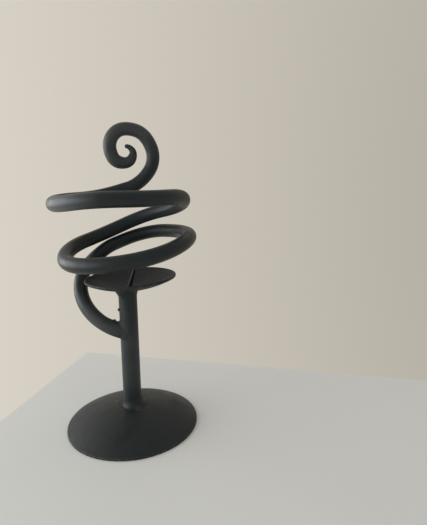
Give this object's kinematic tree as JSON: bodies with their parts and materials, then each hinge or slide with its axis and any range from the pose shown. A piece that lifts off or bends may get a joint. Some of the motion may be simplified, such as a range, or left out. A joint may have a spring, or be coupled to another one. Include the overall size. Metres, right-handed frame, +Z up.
{
  "type": "spiral candle holder",
  "caption": "Free-standing candle holder of black painted steel: domed foot, post, drip pan with a spike, and a round bar coiled about the candle and ending in a scroll.",
  "frame": {"origin": "on the table, on the post's axis, in the middle of the foot's rim", "axes": "+Z up along the post; -Y towards the viewer as pictured; +X to the right as pictured"},
  "size_m": [0.1175, 0.1171, 0.2626],
  "materials": {
    "black_paint": "satin"
  },
  "bodies": {
    "root": {"base_dish": "black_paint", "stem": "black_paint", "drip_pan": "black_paint", "pricket": "black_paint", "spiral_bar": "black_paint", "base_weld": "black_paint", "pan_weld": "black_paint", "arm_weld": "black_paint", "weld_spatter": "black_paint"}
  },
  "joints": []
}
